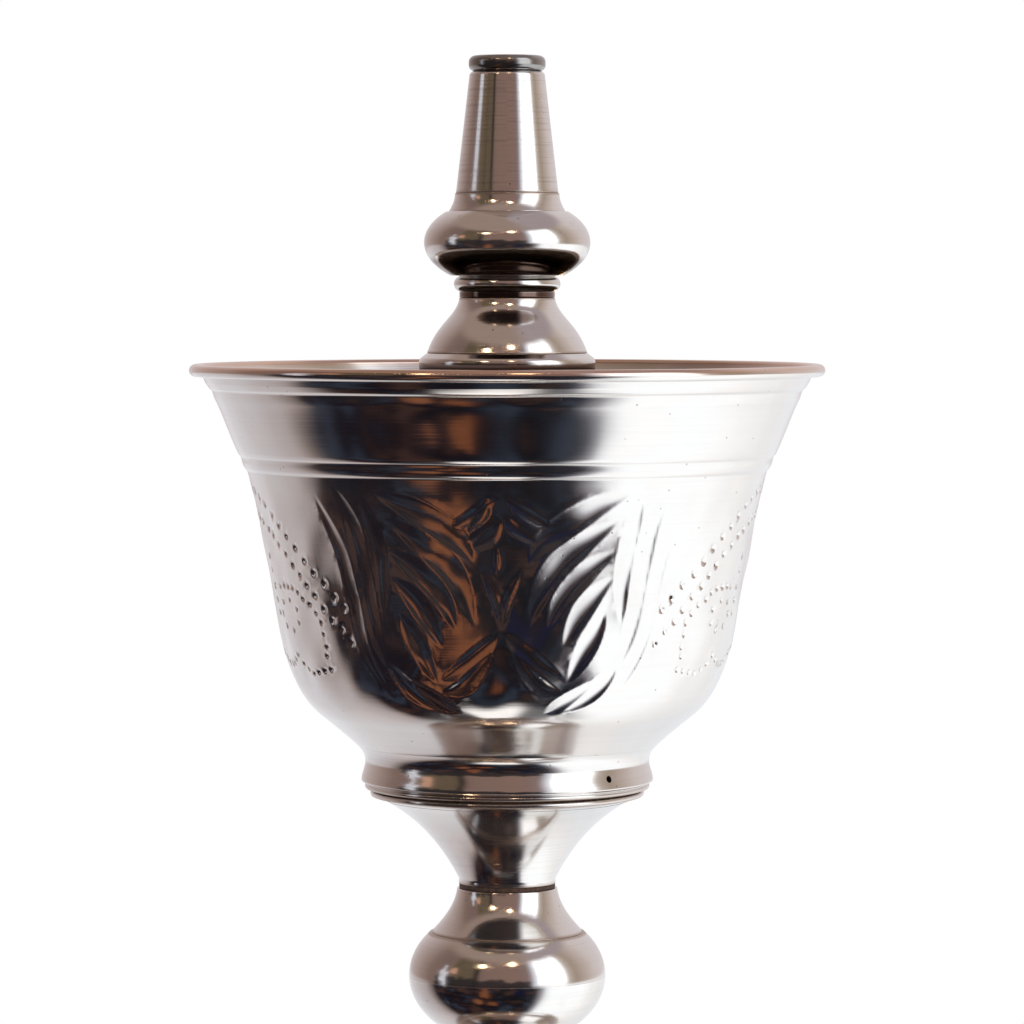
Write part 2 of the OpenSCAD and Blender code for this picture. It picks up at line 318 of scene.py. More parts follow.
def polished(
    name, colour, roughness, wave_mm, joints=(), tarnish=0.35, lines=0.1, worn_above=None,
    sooty=None,
):
    """Polished nickel: turning lines, pits, soft waves, tarnish in its joints, and worn edges.

    joints are heights where grime gathers. Between the two heights of the shade band, painted
    shade turns the metal dark brown, and over the height worn_above it is worn to a copper tint.
    """
    tree = Tree(bpy.data.materials.new(name))
    place, radius, z, angle = object_place(tree)
    rings = tree.noise(tree.joined(radius * 1900.0, z * 1900.0, angle * 0.5), 1.0, detail=4.0)
    wide_rings = tree.noise(tree.joined(radius * 420.0, z * 420.0, angle * 0.4), 1.0, detail=2.0)
    cloud = tree.noise(place, 55.0, detail=6.0, roughness=0.65)
    blotch = tree.noise(place, 190.0, detail=5.0, roughness=0.7, distortion=0.6)
    pits = tree.node(
        "ShaderNodeTexVoronoi", None, {"Vector": place, "Scale": 230.0, "Randomness": 1.0})
    spot = 1.0 - pits.rising(0.03, 0.07)
    wave = tree.noise(place, 46.0, detail=1.0, roughness=0.4)
    grime = None
    for joint in joints:
        line = 1.0 - abs(z - joint * MM).rising(0.0001, 0.0007)
        grime = line if grime is None else grime.math("MAXIMUM", line)
    dull = (cloud.rising(0.52, 0.78) * 0.55 + blotch.rising(0.58, 0.8) * 0.45) * tarnish
    if grime is not None:
        dull = dull.math("MAXIMUM", grime * (0.55 + blotch * 0.5))
    bright = tree.mix(wide_rings * 0.5, shade(colour, 1.03), shade(colour, 0.95))
    brown = (colour[0] * 0.60, colour[1] * 0.47, colour[2] * 0.39, 1.0)
    bright = tree.mix(rings.rising(0.47, 0.68) * lines, bright, shade(colour, 0.66))
    base = tree.mix(dull, bright, brown)
    base = tree.mix(spot * 0.6, base, shade(colour, 0.25))
    # Painted shade: a dark brown band between two heights, where shade falls under parts
    if sooty is not None:
        low, high = (height * MM for height in sooty)
        soot = z.rising(low, low + 0.0003) * (1.0 - z.rising(high - 0.0006, high + 0.0012))
        base = tree.mix(soot, base, PAINTED_SHADE_COLOUR)
    if worn_above is not None:
        worn = z.rising((worn_above - 1.6) * MM, worn_above * MM) * (0.45 + cloud * 0.5)
        base = tree.mix(worn, base, WORN_COLOUR)
    rough = roughness + rings * 0.05 + dull * 0.22 + cloud * 0.03
    relief = rings * 0.008 + wide_rings * 0.010 - spot * 0.02 + wave * wave_mm
    return tree.surface(base, rough, 1.0, tree.bump(relief, 1.0), anisotropic=0.65)


def shaded_inside_finish():
    """Unpolished inside of the cup: spinning rings, stains, and a dark base that is painted shade.
    """
    tree = Tree(bpy.data.materials.new("dull_shaded_inside"))
    place, radius, z, angle = object_place(tree)
    rings = tree.noise(tree.joined(radius * 900.0, z * 900.0, angle * 1.1), 1.0, detail=4.0)
    stain = tree.noise(place, 60.0, detail=6.0, roughness=0.68, distortion=0.4)
    # Painted shade: a dark brown base for the shade inside the cup, mottled by real stains
    base = tree.mix(stain.rising(0.35, 0.7), (0.13, 0.092, 0.066, 1.0), (0.05, 0.032, 0.022, 1.0))
    rough = 0.30 + rings * 0.12 + stain * 0.12
    return tree.surface(base, rough, 1.0, tree.bump(rings, 0.012), anisotropic=0.4)


def fibre_finish():
    """Pressed brown fibre with mottled cells."""
    tree = Tree(bpy.data.materials.new("brown_fibre"))
    place, radius, z, angle = object_place(tree)
    strands = tree.noise(place, 900.0, detail=6.0, roughness=0.7, distortion=0.8)
    patches = tree.noise(place, 160.0, detail=4.0)
    layers = tree.noise(tree.joined(angle * 4.0, 0.0, z * 5200.0), 1.0, detail=2.0)
    base = tree.mix(
        strands.rising(0.35, 0.7), (0.035, 0.016, 0.010, 1.0), (0.13, 0.060, 0.032, 1.0))
    base = tree.mix(patches * 0.5, base, (0.02, 0.010, 0.008, 1.0))
    relief = strands * 0.6 + layers * 0.4
    return tree.surface(base, 0.55 + strands * 0.25, 0.0, tree.bump(relief, 0.08))


def brass_finish():
    """Turned brass with fine tool rings and dull patches."""
    tree = Tree(bpy.data.materials.new("turned_brass"))
    place, radius, z, angle = object_place(tree)
    rings = tree.noise(tree.joined(radius * 2600.0, z * 2600.0, angle * 0.8), 1.0, detail=3.0)
    cloud = tree.noise(place, 70.0, detail=6.0, roughness=0.65)
    base = tree.mix(cloud.rising(0.4, 0.75), (0.74, 0.55, 0.25, 1.0), (0.36, 0.23, 0.10, 1.0))
    return tree.surface(base, 0.2 + rings * 0.18 + cloud * 0.12, 1.0, tree.bump(rings, 0.02))


def iron_finish():
    """Rough cast iron with a sandy skin and patches of rust."""
    tree = Tree(bpy.data.materials.new("cast_iron"))
    place = tree.node("ShaderNodeTexCoord", output=3)
    sand = tree.noise(place, 1400.0, detail=5.0, roughness=0.7)
    lumps = tree.noise(place, 180.0, detail=4.0)
    rust = tree.noise(place, 75.0, detail=6.0, roughness=0.7).rising(0.5, 0.72)
    base = tree.mix(sand, (0.05, 0.05, 0.055, 1.0), (0.15, 0.15, 0.155, 1.0))
    base = tree.mix(rust * 0.7, base, (0.16, 0.065, 0.03, 1.0))
    return tree.surface(
        base, 0.5 + sand * 0.25 + rust * 0.2, 0.8 - rust * 0.6,
        tree.bump(sand * 0.5 + lumps * 0.5, 0.25),
    )


def steel_finish():
    """Rolled steel sheet with a straight grain and faint oil stains."""
    tree = Tree(bpy.data.materials.new("rolled_steel"))
    place = tree.node("ShaderNodeTexCoord", output=3)
    x, y, z = tree.split(place)
    grain = tree.noise(tree.joined(x * 90.0, y * 3000.0, z * 3000.0), 1.0, detail=4.0)
    stain = tree.noise(place, 60.0, detail=5.0).rising(0.45, 0.75)
    base = tree.mix(grain, (0.42, 0.42, 0.43, 1.0), (0.56, 0.55, 0.54, 1.0))
    base = tree.mix(stain * 0.5, base, (0.27, 0.22, 0.17, 1.0))
    return tree.surface(base, 0.26 + grain * 0.15 + stain * 0.2, 1.0, tree.bump(grain, 0.02))


def felt_finish():
    """Green wool felt with matted fibres."""
    tree = Tree(bpy.data.materials.new("wool_felt"))
    place = tree.node("ShaderNodeTexCoord", output=3)
    fibres = tree.noise(place, 2200.0, detail=6.0, roughness=0.75, distortion=1.2)
    tufts = tree.noise(place, 350.0, detail=5.0, distortion=0.5)
    base = tree.mix(fibres.rising(0.3, 0.7), (0.045, 0.10, 0.06, 1.0), (0.13, 0.24, 0.15, 1.0))
    base = tree.mix(tufts.rising(0.5, 0.75) * 0.4, base, (0.19, 0.28, 0.19, 1.0))
    return tree.surface(
        base, 0.9, 0.0, tree.bump(fibres * 0.6 + tufts * 0.4, 0.3),
        sheen_weight=0.35, sheen_roughness=0.5,
    )


POST_JOINTS = ("head_spigot", "post_knob", "post_neck_ring", "post_bell", "post_flange")
STEM_JOINTS = (
    "cup_collar", "cone_seat_plate", "stem_cone", "ball_upper_neck", "foot_bead_ring",
    "foot_trumpet", "foot_dome",
)
# Height of the soft waves on turned pieces, in millimetres
TURNED_WAVES = 0.03
FINISHES = {}


def feet(nodes):
    return [measure(node)[0] for node in nodes]


def finish(name):
    """One of the finishes, made the first time it is asked for."""
    if name not in FINISHES:
        sizes = bpy.context.scene.ciborium
        metal, polish = tuple(sizes.nickel_colour), sizes.polish
        # Painted shade: a darker copy of the nickel for the lip ring, standing in for its dark
        # reflection
        shaded_metal = tuple(c * 0.42 for c in metal)

        def turned_nickel(material, joints, tarnish, **options):
            return polished(
                material, metal, polish, TURNED_WAVES, feet(joints), tarnish, **options)

        def sooty_nickel(node, under, over, from_top=False):
            """Painted shade, dark brown, from under its foot to over its foot, or to over its top.
            """
            foot, top = measure(node)[:2]
            soot = (foot + under, (top if from_top else foot) + over)
            return turned_nickel(node.split("_")[1] + "_nickel", (), 0.3, sooty=soot)

        makers = {
            "nickel": lambda: turned_nickel("polished_nickel", POST_JOINTS, 0.3),
            "spigot_nickel": lambda: turned_nickel(
                "turned_nickel", POST_JOINTS[:1], 0.35, lines=0.42),
            # Painted shade under the knob, in the neck and at the flange's foot
            "knob_nickel": lambda: sooty_nickel("post_knob", 0.0, 3.6),
            "neck_nickel": lambda: sooty_nickel("post_neck_ring", -0.2, -3.6, from_top=True),
            "flange_nickel": lambda: sooty_nickel("post_flange", -0.2, 1.5),
            # The lip ring: painted shade from the darker nickel, and real heavy tarnish
            "lip_nickel": lambda: polished(
                "shaded_tarnished_nickel", shaded_metal, polish + 0.04, TURNED_WAVES, tarnish=0.9),
            "stem_nickel": lambda: turned_nickel("stem_nickel", STEM_JOINTS, 0.25),
            "cup_nickel": lambda: polished(
                "chased_nickel", metal, polish, sizes.wall_waves,
                tarnish=0.12, lines=0.04, worn_above=RIM_Z + 1.0),
            "inside": shaded_inside_finish, "fibre": fibre_finish, "brass": brass_finish,
            "iron": iron_finish, "steel": steel_finish, "felt": felt_finish,
        }
        FINISHES[name] = makers[name]()
    return FINISHES[name]


# ---- The room that the polish mirrors ----

UPPER_ROOM = (
    (-180, (.53, .49, .50)), (-158, (.44, .38, .38)), (-128, (.30, .23, .21)),
    (-105, (.18, .12, .10)), (-88, (.15, .10, .09)), (-74, (.15, .10, .08)),
    (-70, (.09, .065, .04)), (-42, (.10, .07, .045)), (-39.5, (.008, .006, .005)),
    (-36, (.008, .006, .005)), (-33.5, (.17, .11, .09)),
    (10, (.19, .12, .10)), (27, (.18, .12, .11)), (33, (.55, .58, .66)),
    (40, (1.0, 1.0, 1.0)), (73, (1.0, 1.0, 1.0)), (78, (.42, .36, .32)),
    (90, (.30, .24, .19)), (100, (.38, .31, .27)), (125, (.53, .47, .46)), (150, (.54, .50, .51)),
    (180, (.53, .49, .50)),
)
LOWER_ROOM = (
    (-180, (.64, .65, .68)), (-158, (.56, .55, .57)), (-143, (.51, .49, .51)),
    (-128, (.45, .42, .43)), (-113, (.37, .33, .33)), (-103, (.20, .16, .15)),
    (-95, (.006, .004, .007)), (20, (.004, .004, .006)), (35, (.012, .012, .018)),
    (42, (.25, .25, .28)), (48, (.80, .82, .86)), (55, (.94, .97, 1.0)),
    (105, (.94, .97, 1.0)), (120, (.86, .87, .88)), (143, (.74, .74, .75)),
    (165, (.65, .67, .70)), (180, (.62, .63, .66)),
)
FLOOR_ROOM = (
    (-180, (.62, .63, .66)), (-120, (.40, .38, .38)), (-95, (.04, .035, .035)),
    (-50, (.05, .04, .04)), (-42, (.98, .95, .94)),
    (12, (.98, .95, .94)), (24, (.08, .075, .08)), (60, (.20, .20, .21)), (110, (.80, .80, .80)),
    (180, (.62, .63, .66)),
)
# Azimuth, elevation, half widths of each, colour, strength, and raggedness
ROOM_SPOTS = (
    (-40, -38, 7, 6, (.19, .072, .034), 1.0, 1.6),
    (-27, -20, 6.5, 11, (.17, .060, .027), 1.0, 3.4),
    (-20, -44, 6, 5, (.15, .052, .024), 1.0, 2.4),
    (14, -19, 6, 9, (.004, .006, .024), 1.0, 2.4),
    (-82, 6, 5.5, 16, (.58, .59, .65), 1.0, 2.6),
    (-68, 20, 5, 7, (.45, .25, .17), 1.0, 1.5),
    (-34, 37, 3.3, 3.3, (1.0, .70, .42), 14.0, 0.0),
    (7, 44, 3.3, 3.3, (1.0, .70, .42), 14.0, 0.0),
)


WINDOW_BARS = (51.0, 62.0, 14.0)
WINDOW_LIGHT = (1.45, 1.48, 1.55, 1.0)
BAR_COLOUR = (.42, .47, .55, 1.0)
FURNITURE_COLOUR = (.012, .009, .011, 1.0)


def window(tree, room, azimuth, elevation):
    """Lights the window's panes, with two upright bars and one across."""
    left, right, across = WINDOW_BARS
    upright = abs(azimuth - left).math("MINIMUM", abs(azimuth - right))
    bars = 1.0 - upright.math("MINIMUM", abs(elevation - across)).rising(0.3, 0.8)
    pane = azimuth.rising(36.0, 39.0) * (1.0 - azimuth.rising(72.0, 74.0))
    pane = pane * elevation.rising(-2.0, 0.0)
    return tree.mix(bars * pane * 0.8, tree.mix(pane, room, WINDOW_LIGHT), BAR_COLOUR)


def furniture(tree, room, azimuth, elevation):
    """Dark heaps of uneven height along the skirting."""
    outline = tree.joined(azimuth * 0.11, elevation * 0.05, 0.0)
    heap = tree.noise(outline, 1.0, detail=2.5) * 34.0 - 9.5
    reach = azimuth.rising(-97.0, -92.0) * (1.0 - azimuth.rising(26.0, 31.0))
    share = reach * (heap - elevation).rising(-0.7, 0.7) * (elevation + 9.0).rising(0.0, 3.0)
    return tree.mix(share * 0.92, room, FURNITURE_COLOUR)


def room_light(world, strength):
    """White for the eye and for matt surfaces, and a furnished room for what polish mirrors."""
    tree = Tree(world)
    direction = tree.node("ShaderNodeTexCoord", output=0)
    x, y, z = tree.split(direction)
    azimuth = x.math("ARCTAN2", 0.0 - y) * math.degrees(1.0)
    elevation = z.math("ARCSINE") * math.degrees(1.0)
    place = azimuth / 360.0 + 0.5

    def ring(stops):
        stops = [(a / 360.0 + 0.5, colour) for a, colour in stops]
        return tree.node("ShaderNodeValToRGB", {"stops": stops}, {0: place})

    clutter = tree.noise(direction, 4.5, detail=2.0)
    dark = tree.mix(clutter.rising(0.48, 0.70), (0.0, 0.0, 0.0, 1.0), (.020, .027, .040, 1.0))
    dark = tree.mix((1.0 - clutter).rising(0.50, 0.68), dark, (.034, .017, .011, 1.0))
    lower = tree.node(
        "ShaderNodeMix", {"data_type": "RGBA", "blend_type": "ADD"},
        {0: 1.0, 6: ring(LOWER_ROOM), 7: dark}, output=2)
    room = tree.mix((elevation * -1.0).rising(3.0, 9.0), ring(UPPER_ROOM), lower)
    room = window(tree, room, azimuth, elevation)
    room = furniture(tree, room, azimuth, elevation)
    ceiling = tree.mix(azimuth.rising(10.0, 60.0), (.26, .19, .16, 1.0), (.30, .25, .26, 1.0))
    room = tree.mix(elevation.rising(40.0, 52.0), room, ceiling)
    room = tree.mix((elevation * -1.0).rising(60.0, 70.0), room, ring(FLOOR_ROOM))
    torn = tree.noise(tree.joined(azimuth * 0.21, elevation * 0.09, 3.0), 1.0, detail=3.0) - 0.5
    for at, up, wide, tall, colour, power, ragged in ROOM_SPOTS:
        away = ((azimuth - at) / wide) ** 2.0 + ((elevation - up) / tall) ** 2.0
        if ragged:
            away = away + torn * (ragged * 2.0)
        inside = 1.0 - away.rising(0.45, 1.3)
        room = tree.mix(inside, room, tuple(c * power for c in colour) + (1.0,))
    mirrored = tree.node("ShaderNodeBackground", None, {"Color": room, "Strength": strength})
    plain = tree.node(
        "ShaderNodeBackground", None, {"Color": (1.0, 1.0, 1.0, 1.0), "Strength": 1.0})
    glossy = tree.node("ShaderNodeLightPath", output=3)
    tree.node_out("ShaderNodeOutputWorld", tree.node(
        "ShaderNodeMixShader", None, {0: glossy, 1: plain, 2: mirrored},
    ))


# ---- Chased leaves and punched dots ----
# Points are (degrees from the leaf panel's middle, millimetres under the rim).
# Each stroke: half width, depth, points. Both halves of a panel have it.
# Half widths are before STROKE_SPREAD.
LEAF_CUTS = (
    (2.4, 0.28, ((29, -26.5), (22, -29), (16.5, -32), (12.3, -35), (8.7, -38), (6.5, -42))),
    (2.4, 0.31, ((26, -33), (20, -36.5), (15, -40.5), (11, -45), (8.5, -50), (6.5, -56))),
    (2.1, 0.31, ((26, -40), (21, -43), (17, -46.5), (13.5, -51), (11, -57))),
    (2.0, 0.31, ((26, -46), (21.5, -50), (18, -55), (15, -61))),
    (2.0, 0.28, ((25, -54), (22.5, -58.5), (20, -63), (17, -69))),
    (0.8, 0.20, ((4.6, -43.5), (2.4, -48), (1, -51.4), (0.3, -56.6))),
    (1.6, 0.25, ((0.5, -58), (4.5, -62), (10, -66), (15.5, -69))),
    (1.6, 0.25, ((2.5, -62.5), (6, -67), (10, -70.5), (15, -72))),
    (1.8, 0.28, ((30, -65.5), (26.5, -69.5), (22.5, -73), (16.5, -76.3))),
    (1.5, 0.25, ((25, -69), (20, -72.5), (15, -75), (11.5, -76.5))),
    (1.9, 0.28, ((32, -28), (30.5, -34), (29.5, -41), (29, -48), (29.5, -56))),
    (2.0, 0.28, ((39, -25.8), (37, -30), (35, -36), (33.8, -44), (33, -52), (32, -60), (30, -67))),
    (1.5, 0.22, (
        (45.5, -28), (42.5, -34), (39.5, -41), (38, -50), (37, -58), (34.5, -66), (30, -73))),
    (1.1, 0.22, ((1, -27.5), (4.5, -30.5), (8.5, -33), (11.5, -34.5))),
    (1.0, 0.22, ((1, -31.5), (2.5, -34), (5, -36), (8, -37.8))),
)
# The bud in the middle of a panel has no second half.
BUD_CUTS = (
    (1.6, 0.25, ((-2.9, -27.7), (-4.6, -31), (-6.9, -34.5))),
    (1.9, 0.25, ((-0.2, -32.5), (-3, -36), (-6.3, -38.8))),
    (0.6, 0.20, ((-1.3, -38), (-1.3, -41.5), (-1, -45))),
)
# Radius of each dot, distance between dots, points
DOT_LINES = (
    (0.95, 4.0, ((41, -53.5), (56, -41), (73, -29.2), (90, -26.5))),
    (0.85, 3.7, ((40, -61), (60, -43.5), (75, -35), (90, -32.5))),
    (0.65, 2.9, ((70, -49.5), (60, -50), (51, -56), (50, -62.5))),
    (0.65, 2.9, ((50.5, -65), (50.5, -68), (60, -69), (66, -65.5))),
    (0.65, 2.9, ((68.5, -66.6), (70, -67.5), (78, -67.5), (84, -65), (90, -63.5))),
    (0.65, 2.9, ((75, -43), (75, -56))),
)
STROKE_SPREAD = 1.22
# Height of the metal pushed up beside strokes and beside dots
STROKE_LIP, DOT_LIP = 0.09, 0.05
# How far each gouge's deepest line lies to one side
LEAN = -0.38
DOT_DEPTH = 0.45
# Middle, half width, half height, number of dots and radius of each
ROSETTE = ((66, -56), 5.5, 3.6, 7, 0.6)


def flowing(points, steps=7):
    """A smooth line through the points."""
    points = [np.array(p, float) for p in points]
    ends = [2 * points[0] - points[1], *points, 2 * points[-1] - points[-2]]
    line = []
    for a, b, c, d in zip(ends, ends[1:], ends[2:], ends[3:]):
        for t in np.arange(steps) / steps:
            line.append(0.5 * (
                2 * b + (c - a) * t + (2 * a - 5 * b + 4 * c - d) * t ** 2
                + (3 * b - a - 3 * c + d) * t ** 3
            ))
    return np.array([*line, points[-1]])


def punched_dots():
    """Centre and radius of each dot on one half of a panel."""
    hand = np.random.default_rng(7)
    dots = []
    for radius, spacing, points in DOT_LINES:
        line = flowing(points, 12)
        run = np.concatenate([[0], np.cumsum(np.hypot(*np.diff(line, axis=0).T))])
        count = max(int(round(run[-1] / spacing)), 1)
        for distance in np.linspace(0, run[-1], count + 1):
            at = [np.interp(distance, run, line[:, k]) + hand.uniform(-0.28, 0.28) for k in (0, 1)]
            dots.append((*at, radius * hand.uniform(0.85, 1.15)))
    (u, z), wide, tall, count, radius = ROSETTE
    for i in range(count):
        turn = math.tau * i / count
        dots.append((u + wide * math.cos(turn), z + tall * math.sin(turn), radius))
    return dots


def nearest(line, u, z):
    """Distance to a line of points, how far along its nearest place is (0 to 1), and the side."""
    best = np.full(u.shape, 99.0)
    along = np.zeros(u.shape)
    flank = np.ones(u.shape)
    count = len(line) - 1
    for i, (a, b) in enumerate(zip(line, line[1:])):
        du, dz = b - a
        t = np.clip(((u - a[0]) * du + (z - a[1]) * dz) / (du * du + dz * dz), 0, 1)
        gap = np.hypot(u - a[0] - t * du, z - a[1] - t * dz)
        closer = gap < best
        best = np.where(closer, gap, best)
        along = np.where(closer, (i + t) / count, along)
        flank = np.where(closer, np.sign((u - a[0]) * dz - (z - a[1]) * du), flank)
    return best, along, flank


def chasing(u, z, depth_scale=1.0):
    """Height of the chased relief over the smooth wall, and the distance to the nearest mark."""
    relief = np.zeros(u.shape)
    lip = np.zeros(u.shape)
    clear = np.full(u.shape, 99.0)
    side = np.abs(u)
    cuts = [(side, *cut) for cut in LEAF_CUTS] + [(u, *cut) for cut in BUD_CUTS]
    for across, half_width, depth, points in cuts:
        gap, along, flank = nearest(flowing(points), across, z)
        swell = np.sin(math.pi * np.clip(along, 0.015, 0.985)) ** 0.65
        width = half_width * STROKE_SPREAD * swell
        share = np.clip(gap / width, 0, 1) * flank
        bed = (1 - share ** 2) * (1 + LEAN * share)
        relief = np.minimum(relief, np.where(gap < width, -depth * swell * bed, 0))
        lip = np.maximum(lip, STROKE_LIP * swell * np.exp(-((gap - width - 0.4) / 0.5) ** 2))
        clear = np.minimum(clear, gap - width)
    for at_u, at_z, radius in punched_dots():
        gap = np.hypot(side - at_u, z - at_z)
        bed = np.clip(1 - (gap / radius) ** 2, 0, 1)
        relief = np.minimum(relief, -DOT_DEPTH * bed)
        lip = np.maximum(lip, DOT_LIP * np.exp(-((gap - radius - 0.25) / 0.3) ** 2))
        clear = np.minimum(clear, gap - radius)
    return np.where(relief < 0, relief, lip) * depth_scale, clear


# ---- The cup ----

def cup_side(rows=24):
    """Outer face of the cup's sheet, from under its rolled edge down to its floor."""
    def at(inwards, under):
        return (RIM_R - inwards, RIM_Z - under)
    return (
        [at(3.4, 1.9)]
        + curve(at(3.7, 2.7), at(4.1, 3.3), at(4.4, 3.8), at(4.7, 4.2), 5) + [at(5.3, 4.65)]
        + curve(at(5.9, 6.5), at(7.6, 9.7), at(9.5, 15.5), at(11.5, 19.6), 14)
        + [at(12.0, 20.1)]
        + curve(at(12.2, 20.7), at(12.3, 21.5), at(12.6, 22.3), at(13.0, 22.9), 5)
        + [at(13.5, 23.4)]
        + curve(at(13.9, 24.8), at(16.8, 35), at(18.3, 46), at(20.2, 56), rows)
        + curve(at(20.2, 56), at(22.4, 68.5), at(24.9, 75.8), at(30.3, 80.4), rows)[1:]
        + curve(at(30.3, 80.4), at(32.8, 82.4), at(36.3, 85.2), at(39.3, CUP_DEEP), 9)[1:]
        + [(BUSH_R, RIM_Z - CUP_DEEP)]
    )


# Angle of the front leaf panel's middle, in degrees
LEAF_MIDDLE = -1.2
# Heights between which the wall is chased, and how far round a mark its mesh is refined
WALL_TOP, WALL_FOOT, MARK_MARGIN = RIM_Z - 25.1, RIM_Z - 79, 0.75
# Height in millimetres, waves round the cup, turn per millimetre of height, and start
HAMMER_WAVES = (
    (0.085, 17, 0.21, 0.4), (0.070, 23, -0.29, 1.7), (0.045, 31, 0.13, 2.9),
    (0.050, 9, 0.38, 4.1), (0.025, 41, -0.41, 5.3),
)


def hand_waves(x, y, h):
    """The wall's unevenness from the hammer, fading out above and below the chasing."""
    turn = np.arctan2(x, -y)
    waves = sum(
        size * np.sin(count * turn + tilt * h + start) for size, count, tilt, start in HAMMER_WAVES)
    fade = np.clip((RIM_Z - 26 - h) / 8, 0, 1) * np.clip((h - RIM_Z + 78) / 8, 0, 1)
    return waves * fade


def chase_wall(work, depth_scale):
    """Splits the wall where it is chased, and sinks the marks into it."""
    fine = [p for p in cup_side(300) if WALL_FOOT - 1 < p[1] < WALL_TOP + 0.2]
    heights = np.array([p[1] for p in fine])[::-1]
    radii = np.array([p[0] for p in fine])[::-1]
    slopes = np.gradient(radii, heights)

    def panel(x, y):
        angle = np.degrees(np.arctan2(x, -y)) - LEAF_MIDDLE
        return (angle + 90) % 180 - 90

    def on_wall(r, h):
        near = np.abs(r - np.interp(h, heights, radii)) < 0.3
        return near & (h < WALL_TOP) & (h > WALL_FOOT)

    def coordinates(vectors):
        return (np.array(vectors) / MM).T

    faces = list(work.faces)
    x, y, h = coordinates([f.calc_center_median() for f in faces])
    wall = on_wall(np.hypot(x, y), h)
    clear = chasing(panel(x, y), h - RIM_Z)[1]
    chosen = {e for f, pick in zip(faces, wall & (clear < MARK_MARGIN)) if pick for e in f.edges}
    bmesh.ops.subdivide_edges(work, edges=list(chosen), cuts=2, use_grid_fill=True)

    verts = list(work.verts)
    x, y, h = coordinates([v.co for v in verts])
    r = np.hypot(x, y)
    wall = np.nonzero(on_wall(r, h))[0]
    x, y, h, r = x[wall], y[wall], h[wall], r[wall]
    relief = chasing(panel(x, y), h - RIM_Z, depth_scale)[0] + hand_waves(x, y, h)
    slope = np.interp(h, heights, slopes)
    size = np.hypot(1, slope)
    new_r = np.interp(h, heights, radii) + relief / size
    new_h = h - relief * slope / size
    for i, a, b, c in zip(wall, x / r * new_r, y / r * new_r, new_h):
        verts[i].co = (a * MM, b * MM, c * MM)
    work.normal_update()
    for face in work.faces:
        face.smooth = True


DRILL_LENGTH = 8
COLLAR_WALL_R = 32.5


def vent_hole(piece, radius, angle, height):
    """Drills a hole through the collar's wall towards the axis."""
    work = bmesh.new()
    bmesh.ops.create_cone(
        work, cap_ends=True, segments=32, radius1=radius * MM, radius2=radius * MM,
        depth=DRILL_LENGTH * MM,
    )
    middle = Matrix.Translation((COLLAR_WALL_R * MM, 0, height * MM))
    turn = Matrix.Rotation(math.radians(angle), 4, "Z")
    work.transform(turn @ middle @ Matrix.Rotation(math.pi / 2, 4, "Y"))
    mesh = bpy.data.meshes.new("drill")
    work.to_mesh(mesh)
    work.free()
    drill = bpy.data.objects.new("drill", mesh)
    bpy.context.scene.collection.objects.link(drill)
    cut = piece.modifiers.new("vent", "BOOLEAN")
    cut.operation, cut.solver, cut.object = "DIFFERENCE", "EXACT", drill
    bpy.context.view_layer.update()
    result = bpy.data.meshes.new_from_object(
        piece.evaluated_get(bpy.context.evaluated_depsgraph_get()))
    piece.modifiers.remove(cut)
    piece.data = result
    bpy.data.objects.remove(drill)


# ---- Settings ----

class CiboriumSizes(bpy.types.PropertyGroup):
    """Sizes and colours that a user of the vessel would change"""

    nickel_colour: FloatVectorProperty(
        name="Nickel", description="Colour of the polished nickel", subtype="COLOR",
        default=(0.715, 0.695, 0.672), min=0.0, max=1.0,
    )
    polish: FloatProperty(
        name="Polish", description="Roughness of the polished metal", subtype="FACTOR",
        default=0.075, min=0.0, max=1.0,
    )
    wall_waves: FloatProperty(
        name="Wall waves", description="Height of the cup wall's soft waves, in millimetres",
        default=0.6, min=0.0, max=2.0,
    )
    chase_depth: FloatProperty(
        name="Chasing depth", description="Depth of leaves and dots, as a share of the full depth",
        subtype="FACTOR", default=1.0, min=0.0, max=1.2,
    )
    cup_steps: IntProperty(
        name="Cup steps", description="Steps round the cup", default=244, min=64, max=400,
    )
    room_strength: FloatProperty(
        name="Room light", description="Brightness of the room that the polish mirrors",
        default=1.46, min=0.0, max=5.0,
    )
    floor_colour: FloatVectorProperty(
        name="Floor", description="Colour of the floor", subtype="COLOR",
        default=(0.93, 0.93, 0.925), min=0.0, max=1.0,
    )
    floor_radius: FloatProperty(
        name="Floor radius", description="Radius of the floor", unit="LENGTH",
        default=0.5, min=0.2, max=2.0,
    )


# ---- Operators ----

